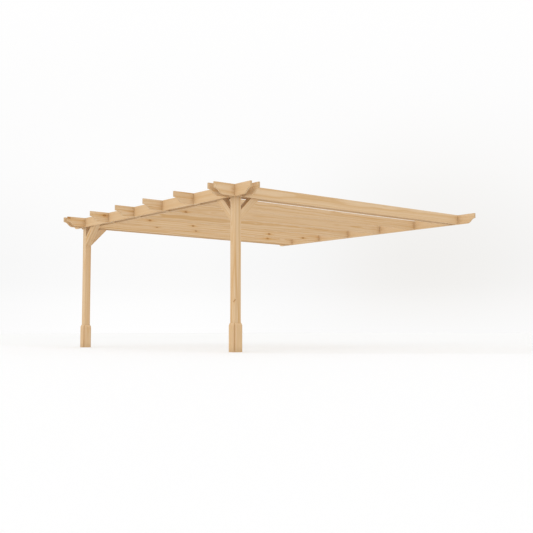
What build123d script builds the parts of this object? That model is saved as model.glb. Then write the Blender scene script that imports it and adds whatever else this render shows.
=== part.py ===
from build123d import *
import math
import os

# Wall-mounted garden pergola in planed softwood, in millimetres.
# A long wall beam is bolted to a house wall and carries the back ends of the rafters. Two square posts
# carry the front. At each post a pair of side rafters and a pair of front beams clasp the post top on
# its four faces. All boards lie at one level and cross each other in halved joints: the beams are
# slotted from above, the rafters from below. The free ends of the boards have a sculpted ogee underside.
# Each post has two knee braces that rise between the paired boards, and a boot of four short boards.
#
# Frame: X runs along the wall, +Y points into the wall, +Z is up.
# The origin is the centre of the wall beam's back face.

# Boards
board_depth = 145.0
board_thickness = 28.0
beam_length = 4700.0
rafter_length = 4700.0
side_overhang = 310.0
front_overhang = 300.0
bay_count = 5
board_arris = 2.0

# Halved joints
slot_play = 0.5

# Sculpted board ends
tail_end_height = 73.0
tail_run = 150.0

# Posts
post_size = 95.0
headroom = 1905.0
post_arris = 4.0

# Boots round the post feet
boot_thickness = 21.0
boot_height = 355.0
boot_bevel_height = 32.0
boot_bevel_run = 17.0
boot_arris = 2.0

# Knee braces, set at 45 degrees
brace_width = 95.0
brace_drop = 290.0
brace_rise = 100.0
brace_arris = 3.0

# Fixing holes through the wall beam, one in the middle of each bay
wall_hole_diameter = 11.0

# Levels
board_top = board_depth / 2
board_underside = -board_depth / 2
ground = board_underside - headroom

# Places along the wall
outer_rafter_face = beam_length / 2 - side_overhang
post_x = outer_rafter_face - board_thickness - post_size / 2
inner_rafter_x = post_x - post_size / 2 - board_thickness / 2
outer_rafter_x = post_x + post_size / 2 + board_thickness / 2
rafter_pitch = 2 * inner_rafter_x / bay_count

# Places out from the wall
tail_tip_y = -rafter_length
outer_beam_y = tail_tip_y + front_overhang + board_thickness / 2
post_y = outer_beam_y + board_thickness / 2 + post_size / 2
inner_beam_y = post_y + post_size / 2 + board_thickness / 2
wall_beam_y = -board_thickness / 2

rafter_places = {
    "rafter_left_outer": -outer_rafter_x,
    "rafter_left_inner": -inner_rafter_x,
    **{f"rafter_middle_{k}": -inner_rafter_x + k * rafter_pitch for k in range(1, bay_count)},
    "rafter_right_inner": inner_rafter_x,
    "rafter_right_outer": outer_rafter_x,
}
beam_places = {
    "front_beam_outer": outer_beam_y,
    "front_beam_inner": inner_beam_y,
    "wall_beam": wall_beam_y,
}


def ogee(tip, inward):
    """The sculpted underside of a board end, from the foot of the end face to the underside.
    tip is the board end along the board, and inward is 1 or -1, the way the board runs from it.
    Two equal arcs meet without a kink, and both outer ends lie level."""
    drop = board_depth - tail_end_height
    half_turn = 2 * math.atan(drop / tail_run)
    radius = tail_run / (2 * math.sin(half_turn))
    turn = math.degrees(half_turn)
    cove = JernArc((tip, drop), (inward, 0), radius, -inward * turn)
    swell = JernArc(cove @ 1, cove % 1, radius, inward * turn)
    return [cove, swell]


def board(length, far_tail):
    """A board along X from 0 to its length, lying on Z 0 to its depth and centred on Y.
    The near end is sculpted, and so is the far end if far_tail is set; otherwise it is cut square."""
    drop = board_depth - tail_end_height
    near = ogee(0, 1)
    far_foot = length - tail_run if far_tail else length
    edges = [*near, Line(near[1] @ 1, (far_foot, 0))]
    if far_tail:
        edges += ogee(length, -1)
        edges.append(Line((length, drop), (length, board_depth)))
    else:
        edges.append(Line((length, 0), (length, board_depth)))
    edges.append(Line((length, board_depth), (0, board_depth)))
    edges.append(Line((0, board_depth), (0, drop)))
    outline = make_face(edges)
    solid = extrude(outline, board_thickness / 2, both=True)
    rims = solid.faces().sort_by(Axis.Z)[0].edges() + solid.faces().sort_by(Axis.Z)[-1].edges()
    return Rot(X=90) * chamfer(rims, board_arris)


def beam(y):
    """A beam along the wall, with both ends sculpted and a slot from above for each rafter."""
    solid = Pos(-beam_length / 2, y, board_underside) * board(beam_length, True)
    slot = Box(board_thickness + 2 * slot_play, 2 * board_thickness, board_depth)
    for x in rafter_places.values():
        solid -= Pos(x, y, board_depth / 2) * slot
    return solid


def rafter(x):
    """A rafter out from the wall, with its front end sculpted and its slots cut from below.
    The last slot is open at the wall end, where the rafter laps over the wall beam."""
    solid = Pos(x, tail_tip_y, board_underside) * Rot(Z=90) * board(rafter_length, False)
    slot = Box(2 * board_thickness, board_thickness + 2 * slot_play, board_depth)
    for y in beam_places.values():
        solid -= Pos(x, y, -board_depth / 2) * slot
    return solid


def post(x):
    """A square post from the ground to the top of the boards, with eased corners."""
    height = board_top - ground
    solid = Pos(x, post_y, ground + height / 2) * Box(post_size, post_size, height)
    return fillet(solid.edges().filter_by(Axis.Z), post_arris)


def boot_board(x, turn):
    """One board of a post's boot, as wide as the post, with a bevelled top. Turned about the post."""
    shoulder = boot_height - boot_bevel_height
    side = make_face(
        Polyline(
            (0, 0),
            (boot_thickness, 0),
            (boot_thickness, shoulder),
            (boot_thickness - boot_bevel_run, boot_height),
            (0, boot_height),
            close=True,
        )
    )
    solid = Plane.XZ * extrude(side, post_size / 2, both=True)
    solid = fillet(solid.edges().filter_by(Axis.Z).sort_by(Axis.X)[-2:], boot_arris)
    return Pos(x, post_y, ground) * Rot(Z=turn) * Pos(post_size / 2, 0, 0) * solid


def brace(x, turn):
    """A knee brace at 45 degrees, as thick as the post. It is cut plumb against the post and level
    between the paired boards. Turned about the post."""
    plumb_cut = brace_width * math.sqrt(2)
    side = make_face(
        Polyline(
            (0, -brace_drop),
            (brace_drop + brace_rise, brace_rise),
            (brace_drop + brace_rise - plumb_cut, brace_rise),
            (0, plumb_cut - brace_drop),
            close=True,
        )
    )
    solid = Plane.XZ * extrude(side, post_size / 2, both=True)
    long_edges = [e for e in solid.edges() if abs(e.tangent_at(0.5).X) > 0.5 and abs(e.tangent_at(0.5).Z) > 0.5]
    solid = fillet(long_edges, brace_arris)
    return Pos(x, post_y, board_underside) * Rot(Z=turn) * Pos(post_size / 2, 0, 0) * solid


def drilled_wall_beam():
    """The wall beam, drilled for one wall bolt in the middle of each bay."""
    solid = beam(wall_beam_y)
    for k in range(bay_count):
        x = (k - (bay_count - 1) / 2) * rafter_pitch
        solid -= Pos(x, wall_beam_y, 0) * Rot(X=90) * Cylinder(wall_hole_diameter / 2, 2 * board_thickness)
    return solid


parts = {
    "wall_beam": drilled_wall_beam(),
    "front_beam_outer": beam(outer_beam_y),
    "front_beam_inner": beam(inner_beam_y),
}
for name, x in rafter_places.items():
    parts[name] = rafter(x)
for side, x in {"left": -post_x, "right": post_x}.items():
    toward_middle = 0 if side == "left" else 180
    parts[f"post_{side}"] = post(x)
    parts[f"brace_{side}_beam"] = brace(x, toward_middle)
    parts[f"brace_{side}_rafter"] = brace(x, 90)
    for face, turn in {"inner": toward_middle, "outer": toward_middle + 180, "back": 90, "front": -90}.items():
        parts[f"boot_{side}_{face}"] = boot_board(x, turn)

os.makedirs("parts", exist_ok=True)
for name, solid in parts.items():
    export_step(solid, f"parts/{name}.step")
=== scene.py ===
import math
import random
import bmesh
import bpy
from mathutils import Matrix, Vector


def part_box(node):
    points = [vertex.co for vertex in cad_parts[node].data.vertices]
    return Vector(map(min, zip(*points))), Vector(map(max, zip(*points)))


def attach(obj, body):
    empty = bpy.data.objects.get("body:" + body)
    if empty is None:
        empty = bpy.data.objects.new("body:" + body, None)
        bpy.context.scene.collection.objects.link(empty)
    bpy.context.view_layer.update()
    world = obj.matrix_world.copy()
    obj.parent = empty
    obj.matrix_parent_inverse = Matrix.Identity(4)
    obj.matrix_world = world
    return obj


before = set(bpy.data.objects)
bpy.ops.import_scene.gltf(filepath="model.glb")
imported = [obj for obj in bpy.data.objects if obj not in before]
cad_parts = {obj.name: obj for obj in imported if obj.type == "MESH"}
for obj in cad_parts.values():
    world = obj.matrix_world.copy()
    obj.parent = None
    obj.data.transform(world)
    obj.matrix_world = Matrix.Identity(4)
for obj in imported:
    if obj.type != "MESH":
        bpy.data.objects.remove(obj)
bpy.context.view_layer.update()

# Wall beam
# The board that is bolted to the house wall and carries the back ends of the rafters. Like every other
# board, post and brace it is planed softwood from a log of its own, with its own rings and tone. Its tone
# is set a little darker, as painted shade at the back of the roof.


class Grain:
    """A value that varies through a stick of wood, or over the studio. Sums on it become Math nodes."""

    def __init__(self, tree, socket=None):
        self.tree = tree
        self.socket = socket

    def node(self, kind, settings, sockets, output=0):
        """Adds a node of that kind, with its settings made, a ramp's stops among them, and its sockets
        filled or linked."""
        made = self.tree.nodes.new(kind)
        for name, setting in settings.items():
            if name == "stops":
                ramp = made.color_ramp
                ramp.elements[0].position, ramp.elements[0].color = setting[0]
                ramp.elements[1].position, ramp.elements[1].color = setting[-1]
                for place, colour in setting[1:-1]:
                    ramp.elements.new(place).color = colour
            else:
                setattr(made, name, setting)
        for name, value in sockets.items():
            if isinstance(value, Grain):
                self.tree.links.new(value.socket, made.inputs[name])
            else:
                made.inputs[name].default_value = value
        return Grain(self.tree, made.outputs[output])

    def feed(self, shader, name):
        """Lets this value drive one socket of a shader."""
        self.tree.links.new(self.socket, shader.inputs[name])

    def sum(self, operation, *values):
        """What one Math node makes of the values."""
        return self.node("ShaderNodeMath", {"operation": operation}, dict(enumerate(values)))

    def __add__(self, other):
        return self.sum("ADD", self, other)

    __radd__ = __add__

    def __sub__(self, other):
        return self.sum("SUBTRACT", self, other)

    def __rsub__(self, other):
        return self.sum("SUBTRACT", other, self)

    def __mul__(self, other):
        return self.sum("MULTIPLY", self, other)

    __rmul__ = __mul__

    def __truediv__(self, other):
        return self.sum("DIVIDE", self, other)

    def __rtruediv__(self, other):
        return self.sum("DIVIDE", other, self)

    def __pow__(self, other):
        return self.sum("POWER", self, other)

    def __rpow__(self, other):
        return self.sum("POWER", other, self)

    def __abs__(self):
        return self.sum("ABSOLUTE", self)

    def fade(self):
        """1 where this value is 0, and ever closer to 0 as it grows."""
        return self.sum("EXPONENT", self * -1)

    def rise(self, low, high):
        """0 below low, 1 above high, and smooth between. With low above high it falls."""
        limits = {"Value": self, "From Min": low, "From Max": high}
        return self.node("ShaderNodeMapRange", {"interpolation_type": "SMOOTHSTEP"}, limits)

    def along(self, direction):
        """How far a point lies along a direction."""
        sockets = {0: self, 1: direction}
        return self.node("ShaderNodeVectorMath", {"operation": "DOT_PRODUCT"}, sockets, "Value")

    def noise(self, scale, detail=2.0):
        """Cloudy values about 0, on a point that is first stretched by scale."""
        stretched = self.node("ShaderNodeVectorMath", {"operation": "MULTIPLY"}, {0: self, 1: scale})
        sockets = {"Vector": stretched, "Scale": 1.0, "Detail": detail}
        return self.node("ShaderNodeTexNoise", {}, sockets) - 0.5

    def mix(self, zero, one):
        """The colour that goes from zero to one with this value. A Mix node's sockets for colours are
        its inputs 6 and 7 and its output 2."""
        return self.node("ShaderNodeMix", {"data_type": "RGBA"}, {0: self, 6: zero, 7: one}, 2)


def new_material(name):
    """A new material, its shader, and the place in the frame of a point that wears it."""
    material = bpy.data.materials.new(name)
    material.use_nodes = True
    tree = material.node_tree
    point = Grain(tree).node("ShaderNodeTexCoord", {}, {}, "Object")
    return material, tree.nodes["Principled BSDF"], point


early_wood = (0.735, 0.53, 0.322, 1)
late_wood = (0.575, 0.32, 0.10, 1)
heart_wood = (0.66, 0.43, 0.22, 1)
resin_wood = (0.58, 0.30, 0.075, 1)
end_wood = (0.50, 0.32, 0.155, 1)
# The colour of the painted shade in corners and gaps.
shade_painted_wood = (0.42, 0.27, 0.13, 1)
knot_wood = (0.47, 0.205, 0.048, 1)
knot_heart = (0.38, 0.155, 0.033, 1)
knot_rim = (0.27, 0.10, 0.02, 1)
knot_rings = [
    (0.0, knot_heart),
    (0.14, knot_wood),
    (0.4, knot_wood),
    (0.6, knot_heart),
    (0.72, knot_wood),
    (0.9, knot_rim),
    (1.0, knot_rim),
]
parting_reach = (4.5, 2.4)
parting_share = 0.75
resin_reach = (8.0, 1.1)
knot_stretch = 1.9
slash_stretch = 3.1
slash_fades_at = 0.020
slash_gone_at = 0.032
ring_width = 0.0062
heart_wander = 0.040
ring_wander = 0.007
streak_softness = 0.25
plain_late_share = 0.27
# How far ambient occlusion looks, and how strong the painted shade in corners and gaps is.
shade_paint_reach = 0.15
shade_paint_strength = 0.42
planed_roughness = 0.66
grain_relief = 0.0006
tone_spread = 0.02


def softwood(node, grain, across, heart, figure=1.0, tone=1.0, knots=(), streaks=()):
    """Saws a node from its own log. grain and across are the ways its fibres and its wide side run.
    heart is where the log's middle lies from the piece's middle, across and through it, in metres.
    figure is how plainly the rings show, and tone is how light the wood is. A knot is (place along
    the grain, place across, size, lean), in the frame's own metres, and one that leans is a shallow
    slash, which goes on round the corner. A streak of resin is (where it starts, where it ends, half
    its width), each end as (place along, across, through)."""
    draw = random.Random(node)
    low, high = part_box(node)
    middle = (low + high) / 2
    through = grain.cross(across)
    middle_along = middle.dot(grain)
    middle_across = middle.dot(across)
    middle_through = middle.dot(through)
    front = -abs((high - low).dot(through)) / 2
    material, finish, point = new_material(f"softwood_{node}")
    length_way = point.along(grain)
    wide_way = point.along(across) - middle_across
    thin_way = point.along(through) - middle_through

    # Fibres part round each knot, and resin lies along them. Their reaches, along the grain and across it,
    # are counted in the knot's own size, and so is nearest, the distance to the nearest knot. front is the
    # face that a slash opens on, and a slash is gone a little way under it.
    parted = 0
    resin = 0
    nearest = None
    for place_along, place_across, size, lean in knots:
        da = length_way - place_along
        dw = wide_way - (place_across - middle_across)
        if lean:
            dw = dw + (thin_way - front)
        near = ((da / (parting_reach[0] * size)) ** 2 + (dw / (parting_reach[1] * size)) ** 2).fade()
        parted = parted + dw * parting_share * near
        tail = ((da / (resin_reach[0] * size)) ** 2 + (dw / (resin_reach[1] * size)) ** 2).fade()
        resin = resin + tail * 0.9 + near * near * 0.5
        stretch = knot_stretch + slash_stretch * abs(math.sin(lean))
        lengthways = (da * math.cos(lean) + dw * math.sin(lean)) / stretch
        sideways = dw * math.cos(lean) - da * math.sin(lean)
        reach = (lengthways * lengthways + sideways * sideways) ** 0.5 / size
        if lean:
            reach = reach + thin_way.rise(front + slash_fades_at, front + slash_gone_at) * 3
        nearest = reach if nearest is None else nearest.sum("MINIMUM", nearest, reach)
    flow = wide_way - parted

    # Growth rings lie round the log's heart, which wanders a little, as the tree grew. Late wood is the
    # dark outer part of each ring, stronger in some years, and wide bands hold more of it than others.
    shift = draw.uniform(0, 50)
    in_log = point.node("ShaderNodeCombineXYZ", {}, {0: length_way + shift, 1: flow, 2: thin_way})
    wander = in_log.noise((0.8, 3.0, 3.0)) * heart_wander + in_log.noise((3.2, 14.0, 14.0)) * ring_wander
    tilt_wide = draw.uniform(-0.014, 0.014)
    tilt_thin = draw.uniform(-0.006, 0.006)
    from_middle = length_way - middle_along
    heart_wide = flow - heart[0] - from_middle * tilt_wide
    heart_thin = thin_way - heart[1] - from_middle * tilt_thin
    from_heart = (heart_wide * heart_wide + heart_thin * heart_thin) ** 0.5 + wander
    rings = from_heart / ring_width
    year = rings.sum("FLOOR", rings)
    season = rings - year
    strength = year.node("ShaderNodeTexWhiteNoise", {"noise_dimensions": "1D"}, {"W": year + shift})
    late = season ** 3 * season.rise(1.0, 0.86) * (strength * strength * 1.3 + 0.25)
    sockets = {"W": rings * 0.45 + shift, "Scale": 1.0}
    band = rings.node("ShaderNodeTexNoise", {"noise_dimensions": "1D"}, sockets)

    # Fibres show as long fine streaks, and broader ones where the tree grew faster or slower. Resin
    # lies in streaks of its own, which wander with the rings.
    fibre = in_log.noise((7.0, 420.0, 420.0), 3.0)
    streak = in_log.noise((0.9, 48.0, 48.0), 3.0)
    cloud = in_log.noise((1.1, 7.0, 7.0))
    for start, end, half_width in streaks:
        gone = (length_way - start[0]) / (end[0] - start[0])
        dw = wide_way - (start[1] - middle_across) - gone * (end[1] - start[1]) + wander * 0.5
        dt = thin_way - (start[2] - middle_through) - gone * (end[2] - start[2])
        spread = ((dw * dw + dt * dt) / (half_width * half_width)).fade()
        begun = length_way.rise(start[0] - streak_softness, start[0] + streak_softness)
        not_over = length_way.rise(end[0] + streak_softness, end[0] - streak_softness)
        resin = resin + spread * (begun * not_over) * (streak * 1.4 + 0.65)

    # The colour starts with early and late wood. Over it come veins of resin, the log's heart, the ends,
    # which are cut across the grain, and the knots.
    uneven = late * 0.75 + band ** 3 * 2.2 + streak * 0.9 + fibre * 0.35 - 0.43
    late_share = plain_late_share + uneven * figure
    colour = late_share.mix(early_wood, late_wood)
    vein = in_log.noise((0.75, 36.0, 36.0)).rise(0.10, 0.24)
    colour = (vein * 0.6 * figure).mix(colour, resin_wood)
    colour = (from_heart.rise(0.10, 0.03) * 0.4 + cloud * 0.5).mix(colour, heart_wood)
    if knots or streaks:
        colour = (resin * 0.7).mix(colour, resin_wood)
    facing = abs(point.node("ShaderNodeNewGeometry", {}, {}, "Normal").along(grain))
    cut_across = facing.rise(0.55, 0.98)
    colour = (cut_across * 0.6).mix(colour, end_wood)
    if knots:
        ragged = nearest + point.noise((70.0, 70.0, 70.0)) * 0.3
        knot_colour = ragged.node("ShaderNodeValToRGB", {"stops": knot_rings}, {0: ragged})
        colour = (ragged.rise(1.12, 0.92) * 0.92).mix(colour, knot_colour)

    # Painted shade, from ambient occlusion, darkens the corners and the gaps between boards, but not closed
    # hollows.
    open_air = point.node("ShaderNodeAmbientOcclusion", {"samples": 8}, {"Distance": shade_paint_reach}, "AO")
    painted_gap_shade = open_air.rise(0.84, 0.44) * open_air.rise(0.12, 0.4) * shade_paint_strength
    colour = painted_gap_shade.mix(colour, shade_painted_wood)
    own_tone = tone + draw.uniform(-tone_spread, tone_spread)
    tinted = colour.node("ShaderNodeVectorMath", {"operation": "SCALE"}, {0: colour, "Scale": own_tone})
    tinted.feed(finish, "Base Color")
    rough = planed_roughness + fibre * 0.2 - late * 0.1
    rough.feed(finish, "Roughness")
    height = fibre * 0.6 + late * 0.5 + streak * 0.4
    sockets = {"Height": height, "Strength": 0.35, "Distance": grain_relief}
    bump = height.node("ShaderNodeBump", {}, sockets)
    bump.feed(finish, "Normal")
    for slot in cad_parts[node].material_slots:
        slot.material = material


along_wall = Vector((1, 0, 0))
toward_wall = Vector((0, 1, 0))
upward = Vector((0, 0, 1))
# A tone under 1 makes the wall beam darker than the rest: painted shade at the back of the roof.
softwood("wall_beam", along_wall, upward, heart=(0.010, 0.050), figure=0.9, tone=0.95)

# Posts
# Two square posts of planed softwood carry the front. Each is sawn beside the log's heart, its corners
# are eased, and the boards that cross at its top clasp it on all four faces.

# Here and on the boards, knots and streaks of resin lie where the photograph shows them.
left_streaks = [((-2.1, -1.917, -4.277), (-0.1, -1.917, -4.277), 0.022)]
softwood("post_left", upward, along_wall, heart=(0.03, 0.055), figure=0.8, streaks=left_streaks)
right_knots = [(-1.355, 2.003, 0.0065, 1.0)]
right_streaks = [
    ((-0.85, 2.008, -4.372), (-0.55, 2.004, -4.372), 0.012),
    ((-1.15, 1.962, -4.372), (-0.85, 2.008, -4.372), 0.015),
    ((-1.95, 1.900, -4.372), (-1.15, 1.962, -4.372), 0.019),
    ((-1.15, 2.012, -4.348), (-0.85, 2.012, -4.368), 0.014),
    ((-1.95, 2.012, -4.270), (-1.15, 2.012, -4.348), 0.015),
]
softwood(
    "post_right",
    upward,
    along_wall,
    heart=(-0.02, 0.060),
    figure=0.7,
    knots=right_knots,
    streaks=right_streaks,
)

# Front beams
# Two planed softwood boards with sculpted ends, which clasp the posts at front and back. They are slotted
# from above, and the rafters are halved into them.

inner_knots = [(-0.9, -0.02, 0.007, 0.0)]
softwood("front_beam_outer", along_wall, upward, heart=(0.02, 0.045), figure=0.6)
softwood("front_beam_inner", along_wall, upward, heart=(-0.03, -0.050), figure=0.9, knots=inner_knots)

# Rafters
# Planed softwood boards with sculpted front ends: single ones at even spacing, and a pair at each side that
# clasps the post. They are slotted from below and laid over the beams.

knot_size = 0.0125
knotty = {
    "rafter_left_inner": [(-4.68, 0.052), (-3.07, 0.035), (-2.27, 0.028), (-0.64, 0.009)],
    "rafter_middle_1": [(-4.47, 0.025), (-3.67, 0.016), (-2.85, -0.006), (-1.23, -0.019), (-0.43, -0.033)],
    "rafter_middle_3": [(-4.01, -0.052)],
}
streaked = {"rafter_middle_2": [((-2.6, 0.028, -0.37), (-0.1, 0.028, -0.37), 0.008)]}
for name in [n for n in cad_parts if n.startswith("rafter")]:
    draw = random.Random(name + "_log")
    heart = (draw.uniform(-0.08, 0.08), draw.choice((-1, 1)) * draw.uniform(0.03, 0.09))
    knots = [(place, up, knot_size * draw.uniform(0.9, 1.15), 0) for place, up in knotty.get(name, ())]
    figure = 0.55 if "outer" in name else 1.1
    softwood(name, toward_wall, upward, heart, figure, knots=knots, streaks=streaked.get(name, ()))

# Knee braces
# Short lengths of post timber that rise at 45 degrees between the paired boards. Each is cut plumb against
# its post and screwed to it and to the inner board.

slant = math.sqrt(0.5)
brace_heart = (0.02, 0.05)
for side, toward_middle in {"left": along_wall, "right": -along_wall}.items():
    softwood(f"brace_{side}_beam", (toward_middle + upward) * slant, toward_wall, brace_heart)
    softwood(f"brace_{side}_rafter", (toward_wall + upward) * slant, along_wall, brace_heart)

# Boots
# Four short softwood boards, one on each face of a post's foot, with bevelled tops that shed the rain. Each
# is held to the post by four screws.

boot_heart = (0.01, 0.04)
for side in ("left", "right"):
    for face in ("inner", "outer"):
        softwood(f"boot_{side}_{face}", upward, toward_wall, boot_heart, figure=0.6)
    for face in ("front", "back"):
        softwood(f"boot_{side}_{face}", upward, along_wall, boot_heart, figure=0.6)

# Screws
# Countersunk steel screws, plated yellow, with a six-lobed recess whose floor is painted dark as shade.
# They hold the boots, the knee braces and the paired boards round each post. Their places are guessed.

head_segments = 24
recess_lobes = 6
head_rings = [
    (0.0030, 0.0, -0.0016),
    (0.0049, 0.0, 0.0001),
    (0.0047, 0.0, 0.0004),
    (0.0019, 0.0002, 0.0004),
    (0.0015, 0.0002, 0.0),
]


def drive_screw(heads, place, outward):
    """Adds a head to the mesh of heads, at a place on a face of the wood that looks outward. Each ring
    of it has a radius, how far its lobes stand out, and a height over the wood."""
    pose = Matrix.Translation(place) @ outward.to_track_quat("Z", "Y").to_matrix().to_4x4()
    rings = []
    for radius, lobe, height in head_rings:
        ring = []
        for k in range(head_segments):
            angle = math.tau * k / head_segments
            out = radius + lobe * math.cos(recess_lobes * angle)
            corner = Vector((out * math.cos(angle), out * math.sin(angle), height))
            ring.append(heads.verts.new(pose @ corner))
        rings.append(ring)
    heads.faces.new(reversed(rings[0]))
    for near, far in zip(rings, rings[1:]):
        for k in range(head_segments):
            n = (k + 1) % head_segments
            heads.faces.new((near[k], near[n], far[n], far[k]))
    # The recess floor takes the second slot, a dark painted shade for the shadow in the shallow recess.
    heads.faces.new(rings[-1]).material_index = 1


def plated_steel(name, bright, dull, roughness):
    """Yellow plating, cloudy with handling."""
    material, finish, point = new_material(name)
    plating = (point.noise((220.0, 220.0, 220.0)) * 1.5 + 0.5).mix(bright, dull)
    plating.feed(finish, "Base Color")
    finish.inputs["Metallic"].default_value = 1.0
    finish.inputs["Roughness"].default_value = roughness
    return material


bright_plating = (0.85, 0.63, 0.30, 1)
dull_plating = (0.66, 0.48, 0.24, 1)
# The recess colours are painted shade: they darken the recess floor as its shadow would.
recess_shade_colour = (0.20, 0.14, 0.07, 1)
recess_shade_deep = (0.15, 0.11, 0.06, 1)
head_finish = plated_steel("plated_head", bright_plating, dull_plating, roughness=0.38)
recess_shade_finish = plated_steel("recess_painted_shade", recess_shade_colour, recess_shade_deep, roughness=0.6)

post_low, post_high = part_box("post_left")
boot_low, boot_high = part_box("boot_left_front")
beam_low, beam_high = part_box("front_beam_outer")
post_half = (post_high.x - post_low.x) / 2
boot_thickness = boot_high.y - boot_low.y
board_thickness = beam_high.y - beam_low.y
ground = post_low.z
underside = beam_low.z

# Each screw's place on its face: how far aside or out from the post, and how far up from the ground on a
# boot, from the middle of a board's depth, or from the boards' underside on a brace.
boot_screws = [(-0.026, 0.065), (0.026, 0.065), (-0.026, 0.265), (0.026, 0.265)]
board_screws = [(-0.022, -0.040), (0.022, 0.040)]
brace_head_screws = [(0.235, 0.034), (0.285, 0.072)]
brace_foot_screw = (0.036, -0.254)
brace_foot_aside = 0.024
for side, middle_way in {"left": along_wall, "right": -along_wall}.items():
    low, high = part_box(f"post_{side}")
    axis = Vector(((low.x + high.x) / 2, (low.y + high.y) / 2, 0))
    heads = bmesh.new()
    for outward in (middle_way, -middle_way, toward_wall, -toward_wall):
        sideways = outward.cross(upward)
        for aside, rise in boot_screws:
            place = axis + outward * (post_half + boot_thickness) + sideways * aside
            drive_screw(heads, place + upward * (ground + rise), outward)
        for aside, rise in board_screws:
            place = axis + outward * (post_half + board_thickness) + sideways * aside
            drive_screw(heads, place + upward * rise, outward)
    for run_way, outward in ((middle_way, toward_wall), (toward_wall, middle_way)):
        for run, rise in brace_head_screws:
            place = axis + run_way * (post_half + run) + outward * (post_half + board_thickness)
            drive_screw(heads, place + upward * (underside + rise), outward)
        run, rise = brace_foot_screw
        for aside in (-brace_foot_aside, brace_foot_aside):
            place = axis + run_way * (post_half + run) + outward * aside
            drive_screw(heads, place + upward * (underside + rise), (run_way - upward).normalized())
    mesh = bpy.data.meshes.new(f"screws_{side}")
    heads.to_mesh(mesh)
    heads.free()
    mesh.materials.append(head_finish)
    mesh.materials.append(recess_shade_finish)
    screws = bpy.data.objects.new(f"screws_{side}", mesh)
    bpy.context.scene.collection.objects.link(screws)
    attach(screws, "root")

# Floor and backdrop
# A white studio floor that keeps the pergola's soft shadow, and a painted shade that greys it a little
# behind the pergola. The backdrop is
# pale, greyest low down and to the right, and lighter again where it meets the floor.

floor_reach = 60.0
floor_mesh = bpy.data.meshes.new("floor")
corners = [(-1, -1), (1, -1), (1, 1), (-1, 1)]
floor_mesh.from_pydata([(x * floor_reach, y * floor_reach, ground) for x, y in corners], [], [(0, 1, 2, 3)])
floor = bpy.data.objects.new("floor", floor_mesh)
bpy.context.scene.collection.objects.link(floor)


def looked_at(point):
    """1 where the eye sees this surface, straight or in metal, and 0 where it only gives light."""
    seen = point.node("ShaderNodeLightPath", {}, {}, "Is Camera Ray")
    for ray in ("Is Glossy Ray", "Is Transmission Ray"):
        seen = seen.sum("MAXIMUM", seen, point.node("ShaderNodeLightPath", {}, {}, ray))
    return seen


white_floor = (0.97, 0.97, 0.97, 1)
floor_painted_shade = (0.937, 0.934, 0.925, 1)
floor_light = (0.86, 0.86, 0.86, 1)
back_left = (-0.94, 1, 0)
floor_paint, finish, point = new_material("floor_paint")
# The painted shade lies behind the front posts' line, and beyond a slanting line at the left.
behind = point.along(toward_wall).rise(-5.4, -4.0) * point.along(back_left).rise(-7.6, -6.2)
floor_colour = looked_at(point).mix(floor_light, behind.mix(white_floor, floor_painted_shade))
floor_colour.feed(finish, "Base Color")
finish.inputs["Roughness"].default_value = 0.9
floor_mesh.materials.append(floor_paint)

# The backdrop has a level of white for each height. A warm shade lies over it low down to the right, and a
# faint glow low down to the left.
studio_light = (0.92, 0.92, 0.92, 1)
untinted = (1, 1, 1, 1)
shade_tint = (0.946, 0.936, 0.918, 1)
glow_tint = (1.028, 1.028, 1.028, 1)
right_of_view = (0.635, 0.772, 0)
levels = {0.0: 0.972, 0.03: 0.962, 0.055: 0.938, 0.08: 0.933, 0.12: 0.945, 0.19: 0.972, 0.36: 0.998}
stops = [(rise, (level, level * 0.998, level * 0.998, 1)) for rise, level in levels.items()]
world = bpy.data.worlds.new("studio")
bpy.context.scene.world = world
world.use_nodes = True
way = Grain(world.node_tree).node("ShaderNodeTexCoord", {}, {}, "Generated")
height = way.along(upward)
rightward = way.along(right_of_view)
lowness = height.rise(0.30, 0.08)
shade = rightward.rise(0.01, 0.18) * rightward.rise(0.42, 0.2) * lowness * height.rise(-0.03, 0.07)
glow = rightward.rise(0.05, -0.12) * rightward.rise(-0.36, -0.18) * lowness
backdrop_colour = height.node("ShaderNodeValToRGB", {"stops": stops}, {0: height})
for tint in (shade.mix(untinted, shade_tint), glow.mix(untinted, glow_tint)):
    sockets = {0: backdrop_colour, 1: tint}
    backdrop_colour = tint.node("ShaderNodeVectorMath", {"operation": "MULTIPLY"}, sockets)
backdrop_colour = looked_at(way).mix(studio_light, backdrop_colour)
backdrop_colour.feed(world.node_tree.nodes["Background"], "Color")

# Light
# One broad soft lamp from the front and above gives the boards their shape. The rest is the even light of
# the pale studio all round.

lamp_tilt = 55
lamp_turn = 18
lamp = bpy.data.lights.new("soft_key", "SUN")
lamp.energy = 0.6
lamp.angle = 0.6
key = bpy.data.objects.new("soft_key", lamp)
key.rotation_euler = (math.radians(lamp_tilt), 0, math.radians(lamp_turn))
bpy.context.scene.collection.objects.link(key)

# Camera
# It stands low in front and to the right, as the photograph was taken. Its place, turn and lens were fitted
# to the edges of the boards, posts and boots in the photograph.

focal_pixels = 819.04
picture_width = 533
camera_place = (9.943, -10.391, -1.713)
camera_turn = 50.585
camera_rise = 4.451
camera_roll = -0.0885
lens = bpy.data.cameras.new("camera")
lens.sensor_width = 36.0
lens.lens = lens.sensor_width * focal_pixels / picture_width
camera = bpy.data.objects.new("camera", lens)
camera.matrix_world = (
    Matrix.Translation(camera_place)
    @ Matrix.Rotation(math.radians(camera_turn), 4, "Z")
    @ Matrix.Rotation(math.radians(90 + camera_rise), 4, "X")
    @ Matrix.Rotation(math.radians(camera_roll), 4, "Z")
)
bpy.context.scene.collection.objects.link(camera)
bpy.context.scene.camera = camera
bpy.context.scene.view_settings.view_transform = "Standard"
